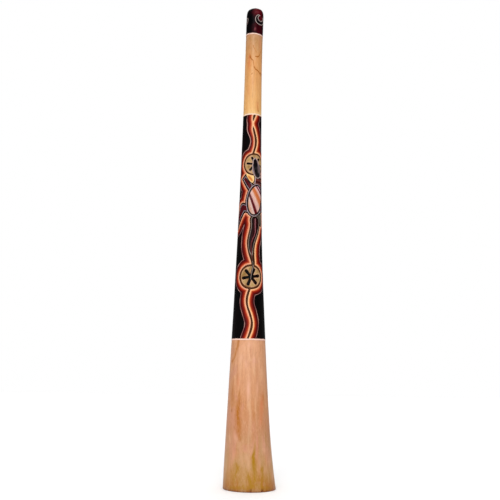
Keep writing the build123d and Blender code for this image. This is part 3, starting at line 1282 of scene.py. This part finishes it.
HEAD_PAINT = brushed_paint("tortoise_head", "inside", (
    (0.0, (150, 130, 124)), (0.5, (208, 188, 178)), (1.4, (172, 148, 146)), (2.6, (128, 104, 106)),
    (3.0, (112, 92, 94)), (3.5, (8, 6, 10)), (10.0, (4, 3, 8)),
), fleck=(84, 78, 78), fleck_share=0.45)
NECK_PAINT = brushed_paint("tortoise_neck", "rung", (
    (797, (96, 48, 40)), (801, (108, 58, 48)), (804, (60, 10, 18)), (806.5, (56, 8, 16)),
    (809, (104, 46, 42)), (812.5, (108, 50, 46)), (815, (26, 5, 10)), (817.4, (26, 5, 10)),
    (819, (190, 154, 150)), (822, (196, 164, 158)),
))
BORDER_PAINT = brushed_paint("neck_border", "inside", ((0.0, (140, 112, 118)), (0.6, (218, 192, 196))))
LEG_PAINT = brushed_paint("tortoise_leg", "inside", (
    (0.0, (12, 4, 4)), (1.6, (18, 6, 8)), (1.9, (196, 170, 178)), (2.7, (186, 158, 168)), (3.0, (16, 3, 7)),
    (4.4, (22, 3, 8)), (5.6, (100, 12, 22)), (9.0, (80, 8, 16)),
), fleck=(24, 4, 8), fleck_share=0.25, wear=0.15)
TAIL_PAINT = brushed_paint("tortoise_tail", "lane", (
    (0.0, (40, 22, 8)), (1.1, (62, 38, 16)), (1.4, (166, 148, 136)), (2.1, (156, 138, 128)),
    (2.5, (16, 3, 4)), (5.5, (22, 3, 4)), (7.5, (48, 8, 10)), (10.0, (40, 5, 7)),
), fleck=(30, 14, 10), fleck_share=0.35, wear=0.2)
THREAD_PAINT = brushed_paint("tail_thread", "inside", (
    (0.0, (60, 40, 36)), (0.5, (120, 100, 92)), (1.2, (158, 146, 134)),
))
SPINE_PAINT = brushed_paint("tail_spine", "rise", (
    (590, (96, 44, 42)), (640, (112, 44, 46)), (662, (140, 74, 78)), (704, (176, 110, 116)),
), fleck=(28, 4, 6), fleck_share=0.8)
SHELL_STRIPES = (
    (-40, (190, 120, 76)), (-21, (202, 142, 104)), (-17.0, (206, 164, 148)), (-13.6, (218, 188, 178)),
    (-12.4, (98, 2, 12)), (-7.4, (80, 0, 10)), (-6.2, (206, 150, 142)), (-1.0, (226, 188, 176)),
    (3.6, (222, 170, 150)), (6.2, (210, 124, 76)), (15.0, (200, 102, 52)), (19.0, (222, 150, 120)),
    (23.0, (228, 186, 178)), (28.2, (226, 178, 174)), (29.4, (112, 14, 34)), (34.6, (100, 10, 28)),
    (36.0, (206, 158, 170)), (60.0, (196, 146, 162)),
)


def shell_paint():
    """A grey-mauve border, a dark line within it, and slanting stripes over the shell."""
    f = Finish("tortoise_shell", roughness=0.36, gloss=0.14, coat=0.05, coat_roughness=0.2)
    strokes = f.noise(320, 110, detail=4, rough=0.65)
    shake = f.swing(strokes, 1.1)
    stripes = f.ramp(f.plus(f.value("stripe"), shake), SHELL_STRIPES)
    border = f.ramp(f.plus(f.value("inside"), f.times(shake, 0.6)), (
        (0.0, (120, 98, 104)), (0.3, (206, 184, 190)), (1.1, (192, 168, 176)), (1.5, (16, 6, 6)),
        (5.4, (20, 6, 6)), (6.4, (20, 6, 6)),
    ))
    colour = f.mix(f.step(f.value("inside"), 5.4, 6.2), border, stripes)
    f.paint(f.tint(colour, f.step(strokes, 0.52, 0.8), 0.3, (96, 48, 40)))
    f.dull(strokes, 0.26, 0.5)
    f.emboss(strokes, 0.3, 0.0004)
    return f.material


def stripe(u, z):
    """The distance across the shell's slanting stripes, which fan out towards the lower left."""
    across, rise = u - SHELL_MIDDLE[0], z - SHELL_MIDDLE[1]
    return (0.935 * across + 0.45 * rise) / (1 - 0.0105 * rise)


def head_field(u, z):
    return -head_border(u, z)


def head_depth(u, z):
    """Low in the border and high in the head."""
    within_border = np.minimum(-head_border(u, z), 3.0)
    return np.maximum(0, within_border + 2 * np.maximum(-head_edge(u, z), 0))


def neck_field(u, z):
    return least(-neck_edge(u, z), head_border(u, z), shell_edge(u, z) - FILM_GAP)


def legs_field(u, z):
    return np.minimum(-legs_edge(u, z), np.minimum(shell_edge(u, z), neck_edge(u, z)) - FILM_GAP)


def tail_field(u, z):
    return np.minimum(-tail_edge(u, z), np.minimum(shell_edge(u, z), legs_edge(u, z)) - FILM_GAP)


def spine_field(u, z):
    return np.minimum(-stroke(u, z, TAIL_SPINE), shell_edge(u, z) - 1.6)


def border_field(u, z):
    return np.minimum(-stroke(u, z, NECK_BORDER), head_border(u, z))


def within(points):
    """A film as wide as a brush stroke."""
    return lambda u, z: -stroke(u, z, points)


def height_of(_, z):
    return z


def tail_lane(u, z):
    """The distance inside the tail's edge, held back where the tail is too narrow for its grey lines."""
    return -tail_edge(u, z) * (0.3 + 0.7 * eased(z, 600, 622))


film("tortoise_head", "black_lacquer", head_field, (-4, 808, 40, 878), 0.6, 0.32, HEAD_PAINT,
     values={"inside": head_depth})
film("tortoise_neck", "red_paint", neck_field, (4, 780, 42, 834), 0.6, 0.26, NECK_PAINT,
     values={"rung": height_of})
film("neck_border", "cream_paint", border_field, (10, 796, 17, 824), 0.5, 0.16, BORDER_PAINT,
     base=COAT + 0.26)
film("tortoise_shell", "cream_paint", lambda u, z: -shell_edge(u, z), (-14, 706, 42, 803), 0.6, 0.34,
     shell_paint(), values={"stripe": stripe})
film("tortoise_legs", "red_paint", legs_field, (-60, 672, 68, 840), 0.6, 0.3, LEG_PAINT,
     values={"inside": lambda u, z: -legs_edge(u, z)})
film("tortoise_tail", "red_paint", tail_field, (-6, 572, 34, 716), 0.6, 0.3, TAIL_PAINT,
     values={"lane": tail_lane})
film("tail_spine", "cream_paint", spine_field, (-6, 586, 34, 712), 0.5, 0.16, SPINE_PAINT,
     base=COAT + 0.3, values={"rise": height_of})
film("tail_thread", "cream_paint", within(TAIL_THREAD), (-2, 534, 18, 596), 0.5, 0.3,
     THREAD_PAINT)


# A patch of cream fills the corner between the upper disc, the neck and the left front leg.
PATCH = (
    (-23, 842), (-2.6, 832), (6.5, 825.5), (9.0, 815), (8.2, 806.8), (3.8, 801.6), (-2.1, 806.3),
    (-6.5, 813.2),
)
PATCH_LEFT = -12.0
PATCH_OUTLINE = 2.6
PATCH_SPOT = ((-8.0, 821.5, 1.8), (-2.0, 815, 4.2), (2.8, 808.6, 3.4))


def patch_depth(u, z):
    return -slab(u, z, PATCH)


def patch_field(u, z):
    ring = disc(u, z, UPPER_DISC, UPPER_RADIUS) - 0.6
    return least(patch_depth(u, z) + PATCH_OUTLINE, ring, u - PATCH_LEFT)


PATCH_PAINT = brushed_paint("cream_patch", "patch", (
    (-2.6, (14, 5, 3)), (-0.7, (20, 8, 4)), (0.1, (232, 180, 118)), (1.4, (252, 216, 152)),
    (6.0, (246, 196, 124)),
), wear=0.1)
SPOT_PAINT = brushed_paint("patch_spot", "inside", (
    (0.0, (240, 184, 110)), (1.6, (222, 146, 74)), (3.4, (198, 112, 44)),
))
film("cream_patch", "cream_paint", patch_field, (-14, 796, 15, 830), 0.5, 0.14, PATCH_PAINT,
     base=COAT + 0.32, values={"patch": patch_depth})
film("patch_spot", "ochre_paint", within(PATCH_SPOT), (-11, 802, 9, 826), 0.5, 0.12,
     SPOT_PAINT, base=COAT + 0.46)


# The grey patch is a painted highlight on the dark paint, and the contours run round it.
def grey_sheen_field(u, z):
    body = np.minimum(shell_edge(u, z), legs_edge(u, z)) - 1
    return least(-stroke(u, z, GREY_SHEEN_STROKE) - 0.4, body, tail_edge(u, z) - FILM_GAP)


film("painted_grey_sheen", "ochre_paint", grey_sheen_field, (14, 680, 46, 724), 0.6, 0.14,
     brushed_paint("painted_grey_sheen", "inside", ((0.0, (44, 32, 26)), (1.5, (84, 72, 62)), (5.0, (104, 92, 82)))))


# ---------------------------------------------------------------- crescents round the mouth

CRESCENT_MIDDLE, CRESCENT_RADIUS = (16.5, 1266.5), 16.0
HEART_MIDDLE, HEART_RADIUS = (17.2, 1270.3), 7.6
CRESCENT_LINE = 0.95
TIPS_MIDDLE, TIPS_SLOPE = (12.5, 1279.5), (0.35, 0.94)
# Where each crescent is, in degrees round from the first.
CRESCENT_TURNS = (("right", 0), ("back", 110), ("left", -130))


def crescent_edge(u, z):
    """The distance outside a crescent that opens towards the upper right."""
    body = disc(u, z, CRESCENT_MIDDLE, CRESCENT_RADIUS)
    bite = HEART_RADIUS - np.hypot(u - HEART_MIDDLE[0], z - HEART_MIDDLE[1])
    return np.maximum.reduce([body, bite, mouth_of_crescent(u, z)])


def mouth_of_crescent(u, z):
    """How far above the line between the crescent's two tips a point is."""
    return (u - TIPS_MIDDLE[0]) * TIPS_SLOPE[0] + (z - TIPS_MIDDLE[1]) * TIPS_SLOPE[1]


def heart_edge(u, z):
    return np.maximum(disc(u, z, HEART_MIDDLE, HEART_RADIUS - 1.2), mouth_of_crescent(u, z))


CRESCENT_LINES = brushed_paint("crescent_line", "inside", (
    (0.0, (100, 84, 82)), (0.5, (172, 156, 150)), (1.0, (208, 194, 186)),
), fleck=(206, 140, 142), fleck_share=0.4, wear=0.15)
CRESCENT_BLACK = brushed_paint("crescent_black", "inside", (
    (0.0, (4, 2, 3)), (6.0, (14, 4, 7)),
), roughness=0.4)
HEART_RED = brushed_paint("heart_red", "inside", (
    (0.0, (44, 2, 8)), (2.0, (76, 2, 12)), (8.0, (98, 4, 16)),
), roughness=0.4)


def crescent(place_name, turn):
    """A crescent's outline and black body, and red between its tips where there is room."""
    shift = math.radians(turn) * skin_radius(CRESCENT_MIDDLE[1])
    area = (-3 + shift, 1246, 36 + shift, 1290)

    def line(u, z):
        return CRESCENT_LINE - abs(crescent_edge(u - shift, z) + CRESCENT_LINE)

    def body(u, z):
        return -crescent_edge(u - shift, z) - 2 * CRESCENT_LINE - 0.1

    def heart(u, z):
        return -heart_edge(u - shift, z)

    film(f"crescent_line_{place_name}", "cream_paint", line, area, 0.5, 0.22, CRESCENT_LINES)
    film(f"crescent_{place_name}", "black_lacquer", body, area, 0.7, 0.12, CRESCENT_BLACK)
    if place_name != "left":
        film(f"heart_{place_name}", "red_paint", heart, area, 0.7, 0.16, HEART_RED)


for place_and_turn in CRESCENT_TURNS:
    crescent(*place_and_turn)


# ---------------------------------------------------------------- floor

FLOOR_HALF, FLOOR_GREY = 6.0, 0.94


def make_floor():
    corners = [(x * FLOOR_HALF, y * FLOOR_HALF, 0) for x, y in ((-1, -1), (1, -1), (1, 1), (-1, 1))]
    mesh = bpy.data.meshes.new("floor")
    mesh.from_pydata(corners, [], [(0, 1, 2, 3)])
    f = Finish("floor_paint", roughness=0.9, gloss=0.0)
    f.surface.inputs["Base Color"].default_value = (FLOOR_GREY, FLOOR_GREY, FLOOR_GREY, 1)
    mesh.materials.append(f.material)
    floor = bpy.data.objects.new("floor", mesh)
    bpy.context.scene.collection.objects.link(floor)


make_floor()
